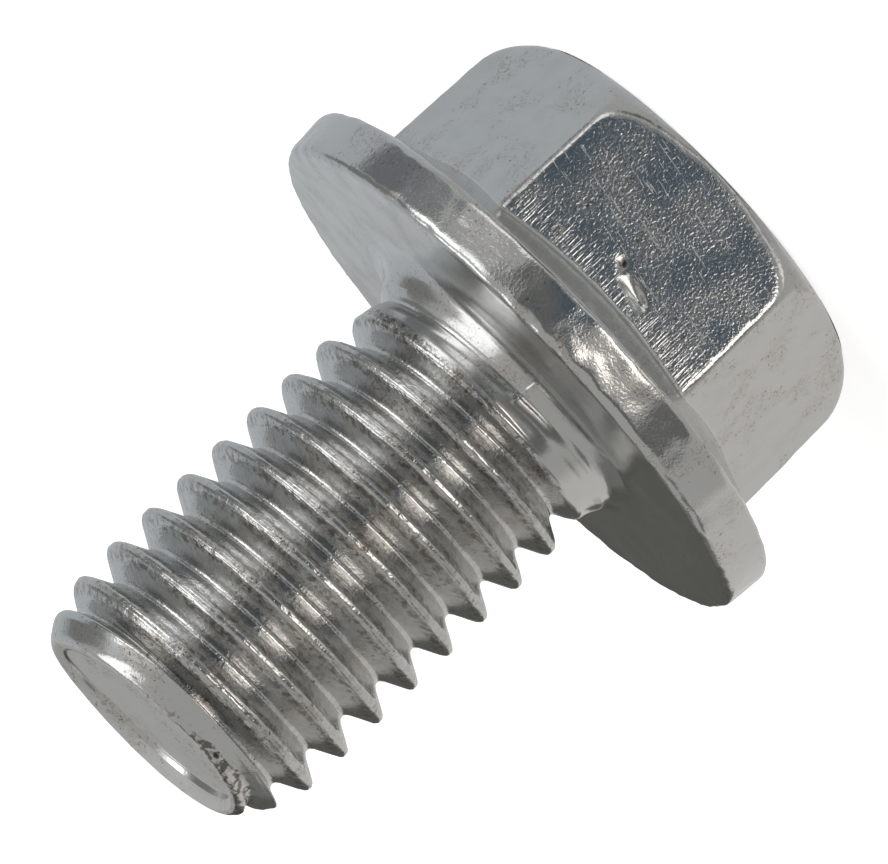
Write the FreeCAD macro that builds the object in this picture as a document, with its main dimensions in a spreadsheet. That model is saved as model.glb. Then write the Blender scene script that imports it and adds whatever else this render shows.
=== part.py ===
import FreeCAD, Part
import math
import os
import Sketcher

# Hex flange wheel bolt, forged and rolled in one piece
# Millimetres. Z runs along the bolt, from the head to the threaded tip. The origin is the
# centre of the bearing face under the flange, and the head stands below it on its flat top.

sizeList = [
    # hexagon and head
    ("acrossFlats", 13.8, "across flats inside the flange, before the draft"),
    ("flatDraft", 1.5, "forging draft of the flats, degrees"),
    ("cornerRounding", 0.3, "rounding along the six upright corners"),
    ("headHeight", 8.02, "bearing face to the flat top of the head"),
    ("crownInset", 0.31, "edge of the flat top, inside the flats"),
    ("crownTilt", 22.7, "how steeply the crown leaves the flat top, degrees"),
    ("cornerTrim", 0.19, "how far inside the sharp corners the crown starts"),
    ("topRounding", 0.3, "rounding from the flat top into the crown"),
    # flange
    ("flangeLedge", 2.97, "how far the flange stands out past the flats"),
    ("rimDraft", 0.12, "how far the rim leans in at the bearing face"),
    ("rimThickness", 1.61, "height of the rim, before its edge is rounded"),
    ("flangeSlope", 21.5, "slope of the flange towards the hexagon, degrees"),
    ("coreInset", 0.4, "where that slope ends, inside the flats"),
    ("bearingEdge", 0.35, "rounding between bearing face and rim"),
    ("rimEdge", 0.2, "rounding between rim and slope"),
    ("flatFoot", 0.25, "rounding where the flats meet the slope"),
    # neck
    ("neckStep", 0.255, "how far the plain neck lies inside the crests"),
    ("neckFillet", 1.1, "fillet from the neck into the bearing face"),
    ("neckLength", 0.32, "straight part of the neck, past the fillet"),
    ("swellLength", 1.68, "length in which the neck swells to the crests"),
    # thread
    ("threadDiameter", 9.66, "over the crests"),
    ("threadDepth", 0.93, "from the crests down to the roots"),
    ("pitch", 1.5, "rise of the thread in one turn"),
    ("rootFlat", 0.25, "width of the groove's floor"),
    ("crestFlat", 0.24, "width of the crest"),
    ("grooveAfter", 0.44, "last full-depth groove on the -X side, past the straight neck"),
    ("runOutTurns", 0.85, "turns in which the groove fades out at the neck"),
    ("runOutRise", 0.85, "how far the groove climbs outwards as it fades"),
    ("grooveMargin", 0.11, "how far the groove's outline stands outside the crests"),
    # tip, measured back from its end and in from the crests
    ("shankLength", 15.84, "bearing face to the end of the tip"),
    ("taperBack", 3.14, "where the crests start to shrink"),
    ("gentleBack", 1.98, "end of the gentle taper"),
    ("gentleDrop", 0.085, "crests at the end of the gentle taper"),
    ("steepBack", 1.29, "end of the steeper taper"),
    ("steepDrop", 0.36, "crests at the end of the steeper taper"),
    ("noseBack", 0.58, "where the nose turns in"),
    ("noseDrop", 0.57, "nose where it turns in"),
    ("lipDrop", 1.03, "outside of the flat lip round the end"),
    ("cupDrop", 1.53, "mouth of the cup in the end"),
    ("cupFloorDrop", 2.43, "floor of the cup"),
    ("cupDepth", 0.5, "depth of the cup"),
    ("lipRounding", 0.5, "rounding of the lip's outer edge"),
    ("cupRounding", 0.7, "rounding at the cup's floor"),
]

doc = FreeCAD.newDocument("wheelBolt")
sheet = doc.addObject("Spreadsheet::Sheet", "Sizes")
value = {}
for row, (alias, number, note) in enumerate(sizeList, start=1):
    sheet.set("A%d" % row, alias)
    sheet.set("B%d" % row, str(number))
    sheet.set("C%d" % row, note)
    sheet.setAlias("B%d" % row, alias)
    value[alias] = number
doc.recompute()


class Length:
    """A length known both as a number and as the rule that ties it to the sheet."""

    def __init__(self, number, rule):
        self.number = number
        self.rule = rule

    def join(self, sign, other):
        if not isinstance(other, Length):
            other = Length(other, str(other))
        numbers = {
            "+": self.number + other.number,
            "-": self.number - other.number,
            "*": self.number * other.number,
            "/": self.number / other.number,
        }
        return Length(numbers[sign], "(%s %s %s)" % (self.rule, sign, other.rule))

    def __add__(self, other):
        return self.join("+", other)

    def __sub__(self, other):
        return self.join("-", other)

    def __mul__(self, other):
        return self.join("*", other)

    def __truediv__(self, other):
        return self.join("/", other)

    def __neg__(self):
        return Length(-self.number, "(0 - %s)" % self.rule)


def size(alias):
    return Length(value[alias], "Sizes." + alias)


def turned(rule, alias):
    """Sine, cosine or tangent of an angle in the sheet."""
    number = getattr(math, rule)(math.radians(value[alias]))
    return Length(number, "%s(Sizes.%s * 1deg)" % (rule, alias))


zero = Length(0.0, "0")
one = Length(1.0, "1")

bolt = doc.addObject("PartDesign::Body", "wheelBolt")
bolt.Label = "wheel_bolt"


def originFeature(role):
    for feature in bolt.Origin.OriginFeatures:
        if feature.Role == role:
            return feature
    raise LookupError(role)


def newSketch(name, role):
    sketch = bolt.newObject("Sketcher::SketchObject", name)
    sketch.AttachmentSupport = [(originFeature(role), "")]
    sketch.MapMode = "FlatFace"
    return sketch


def tie(sketch, kind, line, end, axis, length, name):
    """Hold one end of a line at a signed distance from the sketch's origin."""
    if abs(length.number) < 1e-9:
        # -1 is the horizontal axis and -2 the upright one
        ground = -2 if kind == "DistanceX" else -1
        sketch.addConstraint(Sketcher.Constraint("PointOnObject", line, end, ground))
        return
    index = sketch.addConstraint(Sketcher.Constraint(kind, -1, 1, line, end, length.number))
    sketch.renameConstraint(index, name + axis)
    sketch.setExpression("Constraints." + name + axis, length.rule)


def closedOutline(sketch, corners):
    """Straight-sided closed outline. Each corner is a name, and its two lengths."""
    spots = [FreeCAD.Vector(across.number, up.number, 0) for name, across, up in corners]
    lines = [
        sketch.addGeometry(Part.LineSegment(spots[i], spots[(i + 1) % len(spots)]), False)
        for i in range(len(spots))
    ]
    for i, line in enumerate(lines):
        following = lines[(i + 1) % len(lines)]
        sketch.addConstraint(Sketcher.Constraint("Coincident", line, 2, following, 1))
    for line, (name, across, up) in zip(lines, corners):
        tie(sketch, "DistanceX", line, 1, "Across", across, name)
        tie(sketch, "DistanceY", line, 1, "Up", up, name)
    return lines


def volumeAfter(feature):
    doc.recompute()
    print("%-14s %9.3f mm3" % (feature.Name, feature.Shape.Volume))
    return feature.Shape.Volume


def ringEdges(shape, ringRadius, height):
    """The full-circle edges of one radius at one height, named for a fillet."""
    found = []
    for number, edge in enumerate(shape.Edges, start=1):
        box = edge.BoundBox
        flat = box.ZLength < 1e-4 and abs(box.ZMin - height) < 1e-4
        if flat and abs(box.XMax - ringRadius) < 1e-4 and abs(box.YMax - ringRadius) < 1e-4:
            found.append("Edge%d" % number)
    return found


def roundOff(name, base, edges, alias):
    feature = bolt.newObject("PartDesign::Fillet", name)
    feature.Base = (base, edges)
    feature.Radius = value[alias]
    feature.setExpression("Radius", "Sizes." + alias)
    volumeAfter(feature)
    return feature


# Hexagon: six drafted flats, two of them square to Y, standing on the flange
hexOutline = newSketch("hexOutline", "XY_Plane")
halfFlats = size("acrossFlats") * 0.5
corner = halfFlats * round(2 / math.sqrt(3), 9)
halfCorner = corner * 0.5
closedOutline(
    hexOutline,
    [
        ("east", corner, zero),
        ("northEast", halfCorner, halfFlats),
        ("northWest", -halfCorner, halfFlats),
        ("west", -corner, zero),
        ("southWest", -halfCorner, -halfFlats),
        ("southEast", halfCorner, -halfFlats),
    ],
)
# it starts at the height of the rim's top, inside the flange
hexOutline.AttachmentOffset = FreeCAD.Placement(
    FreeCAD.Vector(0, 0, -value["rimThickness"]), FreeCAD.Rotation()
)
hexOutline.setExpression("AttachmentOffset.Base.z", "0 - Sizes.rimThickness")
hexagon = bolt.newObject("PartDesign::Pad", "hexagon")
hexagon.Profile = hexOutline
hexagon.Length = value["headHeight"] - value["rimThickness"]
hexagon.setExpression("Length", "Sizes.headHeight - Sizes.rimThickness")
hexagon.TaperAngle = -value["flatDraft"]
hexagon.setExpression("TaperAngle", "0 - Sizes.flatDraft")
hexagon.Reversed = True
volumeAfter(hexagon)

uprightEdges = []
for number, edge in enumerate(hexagon.Shape.Edges, start=1):
    low, high = edge.BoundBox.ZMin, edge.BoundBox.ZMax
    if abs(low + value["headHeight"]) < 1e-4 and high - low > 1.0:
        uprightEdges.append("Edge%d" % number)
corners = roundOff("corners", hexagon, uprightEdges, "cornerRounding")

# Crown that trims the six corners, turned round the head's top. The outline of what is
# cut away has one bowed side, an arc from the flat top out to where it runs upright
flatTop = halfFlats - size("crownInset")
crownOutside = corner - size("cornerTrim")
crownRadius = (crownOutside - flatTop) / (one - turned("sin", "crownTilt"))
centreOut = crownOutside - crownRadius
centreUp = crownRadius * turned("cos", "crownTilt") - size("headHeight")
outside = corner + size("cornerTrim")
below = -size("headHeight") - size("cornerTrim")
crownOutline = newSketch("crownOutline", "XZ_Plane")
startTurn = math.radians(value["crownTilt"] - 90)
crownCircle = Part.Circle(
    FreeCAD.Vector(centreOut.number, centreUp.number, 0),
    FreeCAD.Vector(0, 0, 1),
    crownRadius.number,
)
bow = crownOutline.addGeometry(Part.ArcOfCircle(crownCircle, startTurn, 0.0), False)
cutCorners = [
    FreeCAD.Vector(crownOutside.number, centreUp.number, 0),
    FreeCAD.Vector(outside.number, centreUp.number, 0),
    FreeCAD.Vector(outside.number, below.number, 0),
    FreeCAD.Vector(flatTop.number, below.number, 0),
    FreeCAD.Vector(flatTop.number, -value["headHeight"], 0),
]
sides = [
    crownOutline.addGeometry(Part.LineSegment(cutCorners[i], cutCorners[i + 1]), False)
    for i in range(4)
]
crownOutline.addConstraint(Sketcher.Constraint("Coincident", bow, 2, sides[0], 1))
for i in range(3):
    crownOutline.addConstraint(Sketcher.Constraint("Coincident", sides[i], 2, sides[i + 1], 1))
crownOutline.addConstraint(Sketcher.Constraint("Coincident", sides[3], 2, bow, 1))
for i, way in enumerate(("Horizontal", "Vertical", "Horizontal", "Vertical")):
    crownOutline.addConstraint(Sketcher.Constraint(way, sides[i]))
tie(crownOutline, "DistanceX", bow, 3, "Across", centreOut, "centre")
tie(crownOutline, "DistanceY", bow, 3, "Up", centreUp, "centre")
bowed = crownOutline.addConstraint(Sketcher.Constraint("Radius", bow, crownRadius.number))
crownOutline.renameConstraint(bowed, "crownRadius")
crownOutline.setExpression("Constraints.crownRadius", crownRadius.rule)
tie(crownOutline, "DistanceY", bow, 1, "Up", -size("headHeight"), "flatTop")
tie(crownOutline, "DistanceY", bow, 2, "Up", centreUp, "level")
tie(crownOutline, "DistanceX", sides[1], 1, "Across", outside, "outside")
tie(crownOutline, "DistanceY", sides[2], 1, "Up", below, "below")
crown = bolt.newObject("PartDesign::Groove", "crown")
crown.Profile = crownOutline
crown.ReferenceAxis = (crownOutline, ["V_Axis"])
crown.Angle = 360.0
volumeAfter(crown)
topEdges = ringEdges(crown.Shape, flatTop.number, -value["headHeight"])
headTop = roundOff("headTop", crown, topEdges, "topRounding")

# Turned blank: flange, neck, crest envelope, nose and cup
flange = halfFlats + size("flangeLedge")
rimFoot = flange - size("rimDraft")
core = halfFlats - size("coreInset")
slopeEnd = -(size("rimThickness") + (flange - core) * turned("tan", "flangeSlope"))
crests = size("threadDiameter") * 0.5
roots = crests - size("threadDepth")
neck = crests - size("neckStep")
neckEnd = size("neckFillet") + size("neckLength")
end = size("shankLength")
noseAcross = crests - size("noseDrop")
noseUp = end - size("noseBack")
lipAcross = crests - size("lipDrop")
floorAcross = crests - size("cupFloorDrop")
floorUp = end - size("cupDepth")
blankCorners = [
    ("coreAxis", zero, slopeEnd),
    ("core", core, slopeEnd),
    ("rimTop", flange, -size("rimThickness")),
    ("rimBottom", rimFoot, zero),
    ("neck", neck, zero),
    ("neckEnd", neck, neckEnd),
    ("crestStart", crests, neckEnd + size("swellLength")),
    ("taperStart", crests, end - size("taperBack")),
    ("gentleEnd", crests - size("gentleDrop"), end - size("gentleBack")),
    ("steepEnd", crests - size("steepDrop"), end - size("steepBack")),
    ("nose", noseAcross, noseUp),
    ("lip", lipAcross, end),
    ("cupMouth", crests - size("cupDrop"), end),
    ("cupFloor", floorAcross, floorUp),
    ("cupAxis", zero, floorUp),
]
blankOutline = newSketch("blankOutline", "XZ_Plane")
closedOutline(blankOutline, blankCorners)
blank = bolt.newObject("PartDesign::Revolution", "blank")
blank.Profile = blankOutline
blank.ReferenceAxis = (blankOutline, ["V_Axis"])
blank.Angle = 360.0
volumeAfter(blank)

# the line where the six flats and their rounded corners meet the flange's slope
footEdges = []
for number, edge in enumerate(blank.Shape.Edges, start=1):
    low, high = edge.BoundBox.ZMin, edge.BoundBox.ZMax
    if slopeEnd.number < low and high < -value["rimThickness"] - value["rimEdge"]:
        footEdges.append("Edge%d" % number)
print("foot edges", len(footEdges))
foot = roundOff("foot", blank, footEdges, "flatFoot")

neckEdges = ringEdges(foot.Shape, neck.number, 0.0)
neckFillet = roundOff("neckFillet", foot, neckEdges, "neckFillet")
rimFootEdges = ringEdges(neckFillet.Shape, rimFoot.number, 0.0)
bearingEdge = roundOff("bearingEdge", neckFillet, rimFootEdges, "bearingEdge")
rimTopEdges = ringEdges(bearingEdge.Shape, flange.number, -value["rimThickness"])
rimEdge = roundOff("rimEdge", bearingEdge, rimTopEdges, "rimEdge")
noseEdges = ringEdges(rimEdge.Shape, noseAcross.number, noseUp.number)
noseEdges += ringEdges(rimEdge.Shape, lipAcross.number, end.number)
nose = roundOff("nose", rimEdge, noseEdges, "lipRounding")
floorEdges = ringEdges(nose.Shape, floorAcross.number, floorUp.number)
cup = roundOff("cup", nose, floorEdges, "cupRounding")

# Thread groove, drawn once on the -X side. It rises to the tip and out past it, and
# from the same outline it climbs out of the metal towards the neck. The outline's mouth
# stands a little outside the crests so that the cut is clean
grooveStart = neckEnd + size("grooveAfter")
floorHalf = size("rootFlat") * 0.5
grooveHalf = (size("pitch") - size("crestFlat")) * 0.5
flare = (grooveHalf - floorHalf) * size("grooveMargin") / size("threadDepth")
mouthHalf = grooveHalf + flare
mouth = crests + size("grooveMargin")
grooveOutline = newSketch("grooveOutline", "XZ_Plane")
closedOutline(
    grooveOutline,
    [
        ("floorLow", -roots, grooveStart - floorHalf),
        ("floorHigh", -roots, grooveStart + floorHalf),
        ("mouthHigh", -mouth, grooveStart + mouthHalf),
        ("mouthLow", -mouth, grooveStart - mouthHalf),
    ],
)
doc.recompute()

thread = bolt.newObject("PartDesign::SubtractiveHelix", "thread")
thread.Profile = grooveOutline
thread.ReferenceAxis = (grooveOutline, ["V_Axis"])
thread.Mode = "pitch-height-angle"
thread.Pitch = value["pitch"]
thread.setExpression("Pitch", "Sizes.pitch")
threadRun = end - grooveStart + size("pitch")
thread.Height = threadRun.number
thread.setExpression("Height", threadRun.rule)
before = cup.Shape.Volume
after = volumeAfter(thread)
# one turn of a groove takes more than a quarter of the ring between crests and roots
ringArea = math.pi * (crests.number**2 - roots.number**2)
if before - after < ringArea * value["pitch"] / 4:
    raise ValueError("the thread groove cuts nothing")

runOut = bolt.newObject("PartDesign::SubtractiveHelix", "runOut")
runOut.Profile = grooveOutline
runOut.ReferenceAxis = (grooveOutline, ["V_Axis"])
runOut.Mode = "height-turns-growth"
runOut.Height = value["pitch"] * value["runOutTurns"]
runOut.setExpression("Height", "Sizes.pitch * Sizes.runOutTurns")
runOut.Turns = value["runOutTurns"]
runOut.setExpression("Turns", "Sizes.runOutTurns")
runOut.Growth = value["runOutRise"] / value["runOutTurns"]
runOut.setExpression("Growth", "Sizes.runOutRise / Sizes.runOutTurns")
runOut.Reversed = True
volumeAfter(runOut)

bolt.Tip = runOut
doc.recompute()

# Nothing is written unless every feature and the finished solid are sound
for item in doc.Objects:
    if "Invalid" in item.State or "Error" in item.State:
        raise ValueError("%s failed: %s" % (item.Name, item.State))
shape = bolt.Shape
if shape.isNull() or not shape.isValid() or len(shape.Solids) != 1:
    raise ValueError("wheel_bolt is not one sound solid")
box = shape.BoundBox
print("wheel_bolt", shape.isValid(), "faces", len(shape.Faces), "volume", round(shape.Volume, 2))
print("box", [round(v, 3) for v in (box.XMin, box.XMax, box.YMin, box.YMax, box.ZMin, box.ZMax)])

os.makedirs("parts", exist_ok=True)
shape.exportStep("parts/" + bolt.Label + ".step")
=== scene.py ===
import math

import bmesh
import bpy
import numpy as np
from mathutils import Matrix, Vector, noise


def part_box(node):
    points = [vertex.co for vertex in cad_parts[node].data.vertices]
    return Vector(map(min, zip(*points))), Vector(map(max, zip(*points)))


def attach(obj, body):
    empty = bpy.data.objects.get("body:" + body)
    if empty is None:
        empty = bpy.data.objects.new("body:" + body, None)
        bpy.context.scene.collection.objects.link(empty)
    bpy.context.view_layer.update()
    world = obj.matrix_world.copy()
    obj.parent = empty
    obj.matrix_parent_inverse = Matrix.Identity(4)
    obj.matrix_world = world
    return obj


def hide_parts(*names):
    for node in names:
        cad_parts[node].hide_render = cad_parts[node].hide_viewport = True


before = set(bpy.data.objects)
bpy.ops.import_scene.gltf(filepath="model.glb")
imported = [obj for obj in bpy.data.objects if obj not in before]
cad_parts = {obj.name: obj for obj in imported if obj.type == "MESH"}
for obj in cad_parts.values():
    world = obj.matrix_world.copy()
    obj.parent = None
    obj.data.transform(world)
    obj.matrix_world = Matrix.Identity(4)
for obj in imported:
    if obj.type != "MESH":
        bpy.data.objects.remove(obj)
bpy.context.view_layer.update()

# Sizes are in millimetres here, and go to metres as the mesh is made. The bolt stands on
# its head: the bearing face is at height 0, and the cupped end is at the top
mm = 0.001
low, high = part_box("wheel_bolt")
headHeight = -low.z / mm
shankLength = high.z / mm
flangeRadius = high.x / mm

# One side of the hexagon, as a turn round the axis
sideTurn = math.pi / 3
halfSide = sideTurn / 2


# Camera, at the photograph's angle: it looks down on the bearing face a little, from far
# away, rolled so that the bolt runs from the lower left to the upper right
cameraSetup = {
    "aim": (0.229, 0.391, 2.387),
    "azimuth": 0.225,
    "elevation": 9.289,
    "roll": -133.818,
    "distance": 208.0,
    "lens": 272.57,
    "sensor": 36.0,
    "clip": (0.01, 20.0),
}


def makeCamera(setup):
    turn, lift = math.radians(setup["azimuth"]), math.radians(setup["elevation"])
    back = Vector(
        (math.sin(turn) * math.cos(lift), -math.cos(turn) * math.cos(lift), math.sin(lift))
    )
    levelRight = Vector((0, 0, 1)).cross(back).normalized()
    levelUp = back.cross(levelRight)
    roll = math.radians(setup["roll"])
    right = math.cos(roll) * levelRight + math.sin(roll) * levelUp
    up = back.cross(right)
    data = bpy.data.cameras.new("photoCamera")
    data.sensor_width = setup["sensor"]
    data.lens = setup["lens"]
    data.clip_start, data.clip_end = setup["clip"]
    camera = bpy.data.objects.new("photoCamera", data)
    place = (Vector(setup["aim"]) + back * setup["distance"]) * mm
    axes = Matrix((right, up, back)).transposed().to_4x4()
    camera.matrix_world = Matrix.Translation(place) @ axes
    bpy.context.scene.collection.objects.link(camera)
    bpy.context.scene.camera = camera


makeCamera(cameraSetup)
print("camera ready")


# Columns of the mesh, in degrees round the axis from +X: closer together at the six
# corners, over the gouge in the front flat and at the forging seam
columnSetup = {
    "sides": 6,
    "cornerSteps": (0.0, 0.36, 0.72, 1.08, 1.6, 2.4, 3.4),
    "flatSteps": 19,
    "gougeTurns": (257.6, 272.6),
    "gougeStep": 0.7,
    "seamTurn": 263.0,
    "seamSteps": (-0.7, -0.35, 0.0, 0.35, 0.7),
    "seamRoom": 1.0,
}


def makeColumns(setup):
    side = 360.0 / setup["sides"]
    nearCorner = list(setup["cornerSteps"])
    across = list(np.linspace(nearCorner[-1], side / 2, setup["flatSteps"] + 1)[1:])
    half = nearCorner + across
    offsets = sorted(set(round(x, 4) for x in half + [side - x for x in half]))
    turns = [side * i + x for i in range(setup["sides"]) for x in offsets if x < side]
    first, last = setup["gougeTurns"]
    seam, room = setup["seamTurn"], setup["seamRoom"]
    turns = [t for t in turns if not first < t < last]
    turns += [t for t in np.arange(first, last, setup["gougeStep"]) if abs(t - seam) > room]
    turns += [seam + x for x in setup["seamSteps"]]
    return np.radians(np.array(sorted(turns)))


columns = makeColumns(columnSetup)
print("columns", len(columns))


# Wear is random but the same each time. Every kind of it has a seed, which sets how far
# along these three directions its noise is read
seedShift = (1.0, 2.3, 0.7)


def wander(place, size, seed):
    # a smooth random value from -1 to 1 that changes over the given size
    shift = Vector([seed * part for part in seedShift])
    return noise.noise(Vector(place) / size + shift)


def ragged(edgeWear):
    # the wear of a round edge, one value for each column
    depth, radius, size, seed = edgeWear
    places = [(radius * math.cos(t), radius * math.sin(t), 0) for t in columns]
    return depth * np.array([wander(place, size, seed) for place in places])


# Paths: each row of the mesh is a pair of arrays, the distance from the axis and the
# height, with one value for each column
def row(across, height):
    across, height = np.broadcast_arrays(across, height, columns)[:2]
    return np.array(across, float), np.array(height, float)


def between(start, end, share):
    return row(
        start[0] + (end[0] - start[0]) * share, start[1] + (end[1] - start[1]) * share
    )


def stepBack(corner, towards, distance):
    # a point on the way from a corner to another point
    gap = np.hypot(towards[0] - corner[0], towards[1] - corner[1])
    return between(corner, towards, distance / gap)


def straight(start, end, steps):
    return [between(start, end, i / steps) for i in range(1, steps)]


def roundCorner(before, corner, after, steps):
    rows = []
    for i in range(steps + 1):
        share = i / steps
        rows.append(
            between(between(before, corner, share), between(corner, after, share), share)
        )
    return rows


# Head: hexagon with drafted flats, trimmed by the crown. The wear of an edge is its depth,
# its distance from the axis, the size of its waves and its seed
head = {
    "acrossFlats": 13.8,
    "draft": 1.5,
    "cornerRounding": 0.3,
    "cornerWear": (0.13, 0.45, 5.0),  # depth, size and seed
    "crownInset": 0.27,
    "crownTilt": 22.7,
    "cornerTrim": 0.19,
    "topRounding": 0.1,
    "crownEdge": 0.28,
    "crownWear": (0.09, 7.2, 0.4, 3.0),
    "crownLeast": 0.02,  # as a turn of the crown's arc
    "foot": 0.13,
    "footWear": (0.06, 7.0, 0.35, 8.0),
    "topShares": (0.12, 0.35, 0.6, 0.8, 0.93),
    "topEdgeRows": 3,
    "crownRows": 7,
    "crownEdgeRows": 5,
    "crownLap": 2,  # rows of that edge that have the crown's finish
    "flatRows": 26,
    "gougeRows": (19, 24),
    "footRows": 4,
}

# Flange under the head, trimmed a little unevenly round its rim and a little off centre
flange = {
    "thickness": 1.61,
    "slope": 21.5,
    "rimDraft": 0.12,
    "rimEdge": 0.2,
    "rimWear": (0.1, 9.8, 0.7, 11.0),
    "bearingEdge": 0.34,
    "bearingWear": (0.14, 9.8, 0.6, 17.0),
    "slopeRows": 10,
    "rimEdgeRows": 5,
    "rimRows": 8,
    "bearingEdgeRows": 6,
    "offCentre": 0.05,
    "centredWithin": 7.2,
    "shiftWidth": 2.0,
    "shiftTop": 0.1,
}

# Where two surfaces meet, the meeting is found by going back and forth this many times
# from a first guess, a turn of the crown's arc or a height above the flange's edge
meeting = {
    "rounds": 25,
    "crownGuess": 60.0,
    "footGuess": 1.0,
}


def flatDistance(height):
    # from the axis to a flat
    above = -height - flange["thickness"]
    return head["acrossFlats"] / 2 - above * math.tan(math.radians(head["draft"]))


def hexagonRadius(height):
    # from the axis to the hexagon's side at each column, its corners rounded and worn
    fromFlat = np.abs((columns - halfSide) % sideTurn)
    fromFlat = np.minimum(fromFlat, sideTurn - fromFlat)
    fromCorner = halfSide - fromFlat
    flat = flatDistance(height)
    corner = np.round(columns / sideTurn)
    depth, size, seed = head["cornerWear"]
    worn = [wander((0, 0, z), size, seed + c) for c, z in zip(corner, row(0, height)[1])]
    rounding = head["cornerRounding"] + depth * np.array(worn)
    centre = (flat - rounding) / math.cos(halfSide)
    reach = np.maximum(rounding**2 - (centre * np.sin(fromCorner)) ** 2, 0)
    rounded = centre * np.cos(fromCorner) + np.sqrt(reach)
    lastFlat = np.arctan((flat - rounding) * math.tan(halfSide) / flat)
    return np.where(fromFlat < lastFlat, flat / np.cos(fromFlat), rounded)


def crownArc():
    halfFlats = head["acrossFlats"] / 2
    flatTop = halfFlats - head["crownInset"]
    outside = halfFlats / math.cos(halfSide) - head["cornerTrim"]
    tilt = math.radians(head["crownTilt"])
    radius = (outside - flatTop) / (1 - math.sin(tilt))
    return flatTop, tilt, radius, outside - radius, radius * math.cos(tilt) - headHeight


def headRows():
    flatTop, tilt, radius, centreOut, centreUp = crownArc()

    def onCrown(turn):
        return row(centreOut + radius * np.sin(turn), centreUp - radius * np.cos(turn))

    # where the crown meets the hexagon, column by column
    turn = np.full(len(columns), math.radians(meeting["crownGuess"]))
    for _ in range(meeting["rounds"]):
        side = hexagonRadius(onCrown(turn)[1])
        turn = np.arcsin(np.clip((side - centreOut) / radius, math.sin(tilt), 1))
    edge = onCrown(turn)
    setback = head["crownEdge"] + ragged(head["crownWear"])
    lastOnCrown = np.maximum(turn - setback / radius, tilt + head["crownLeast"])

    # where the hexagon meets the slope of the flange
    slope = math.tan(math.radians(flange["slope"]))
    footHeight = np.full(len(columns), -flange["thickness"] - meeting["footGuess"])
    for _ in range(meeting["rounds"]):
        side = hexagonRadius(footHeight)
        footHeight = -flange["thickness"] - (flangeRadius - side) * slope
    foot = row(hexagonRadius(footHeight), footHeight)
    rimTop = row(flangeRadius, -flange["thickness"])
    footReach = head["foot"] + ragged(head["footWear"])

    # the flat top and the crown
    rows = [row(flatTop * share, -headHeight) for share in head["topShares"]]
    topEdge = row(flatTop, -headHeight)
    first = tilt + head["topRounding"] / radius
    firstOnCrown = onCrown(np.full(len(columns), first))
    topStart = stepBack(topEdge, row(0, -headHeight), head["topRounding"])
    rows += roundCorner(topStart, topEdge, firstOnCrown, head["topEdgeRows"])
    for i in range(1, head["crownRows"]):
        rows.append(onCrown(first + (lastOnCrown - first) * i / head["crownRows"]))
    finish = ["crown"] * (len(rows) + head["crownLap"])

    # the flats, with rows twice as close where the gouge is
    flatStart = stepBack(edge, foot, setback)
    rows += roundCorner(onCrown(lastOnCrown), edge, flatStart, head["crownEdgeRows"])
    flatEnd = stepBack(foot, edge, footReach)
    shares = [i / head["flatRows"] for i in range(1, head["flatRows"])]
    shares += [(i + 0.5) / head["flatRows"] for i in range(*head["gougeRows"])]
    for share in sorted(shares):
        height = between(flatStart, flatEnd, share)[1]
        rows.append(row(hexagonRadius(height), height))
    finish += ["flats"] * (len(rows) - len(finish))

    # the foot, where the flats turn into the flange
    slopeStart = stepBack(foot, rimTop, footReach)
    rows += roundCorner(flatEnd, foot, slopeStart, head["footRows"])
    finish += ["flange"] * (len(rows) - len(finish))
    return rows, finish, slopeStart, foot, rimTop


def flangeRows(slopeStart, foot, rimTop):
    rimFoot = row(flangeRadius - flange["rimDraft"], 0)
    upper = flange["rimEdge"] + ragged(flange["rimWear"])
    lower = flange["bearingEdge"] + ragged(flange["bearingWear"])
    slopeEnd = stepBack(rimTop, foot, upper)
    rows = straight(slopeStart, slopeEnd, flange["slopeRows"])
    rimStart = stepBack(rimTop, rimFoot, upper)
    rows += roundCorner(slopeEnd, rimTop, rimStart, flange["rimEdgeRows"])
    rimEnd = stepBack(rimFoot, rimTop, lower)
    rows += straight(rimStart, rimEnd, flange["rimRows"])
    faceStart = stepBack(rimFoot, row(0, 0), lower)
    rows += roundCorner(rimEnd, rimFoot, faceStart, flange["bearingEdgeRows"])
    return rows, ["flange"] * len(rows), faceStart


# Neck and blank of the shank
shank = {
    "neckRadius": 4.575,
    "neckFillet": 1.2,
    "neckEnd": 1.42,
    "neckTaper": 0.11,
    "crestRadius": 4.83,
    "crestStart": 3.1,
    "climbStart": 0.62,
    "climbEnd": 15.2,
    "faceRows": 12,
    "filletRows": 6,
    "neckFinish": 0.1,  # how far past the neck its finish goes
    "tipFinish": 1.5,  # how far from the end the tip's finish starts
}

# Rolled thread, right-handed, running out into the neck
thread = {
    "pitch": 1.5,
    "rootRadius": 3.9,
    "rootFlat": 0.25,
    "crestFlat": 0.24,
    "start": 1.86,
    "turns": (-2, 12),
    "runOutRise": 1.0,
    "crestBlend": 0.19,
    "rootBlend": 0.2,
    "foldDepth": 0.035,
    "foldHalf": 0.035,
    "foldUsual": 0.6,
    "foldWear": (5.0, 0.9, 61.0),  # distance from the axis, size and seed
    "foldStop": 0.6,
    "steps": (0.0, 0.1, 0.2, 0.36, 0.5, 0.6, 0.67, 0.715, 0.75),
}

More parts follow.
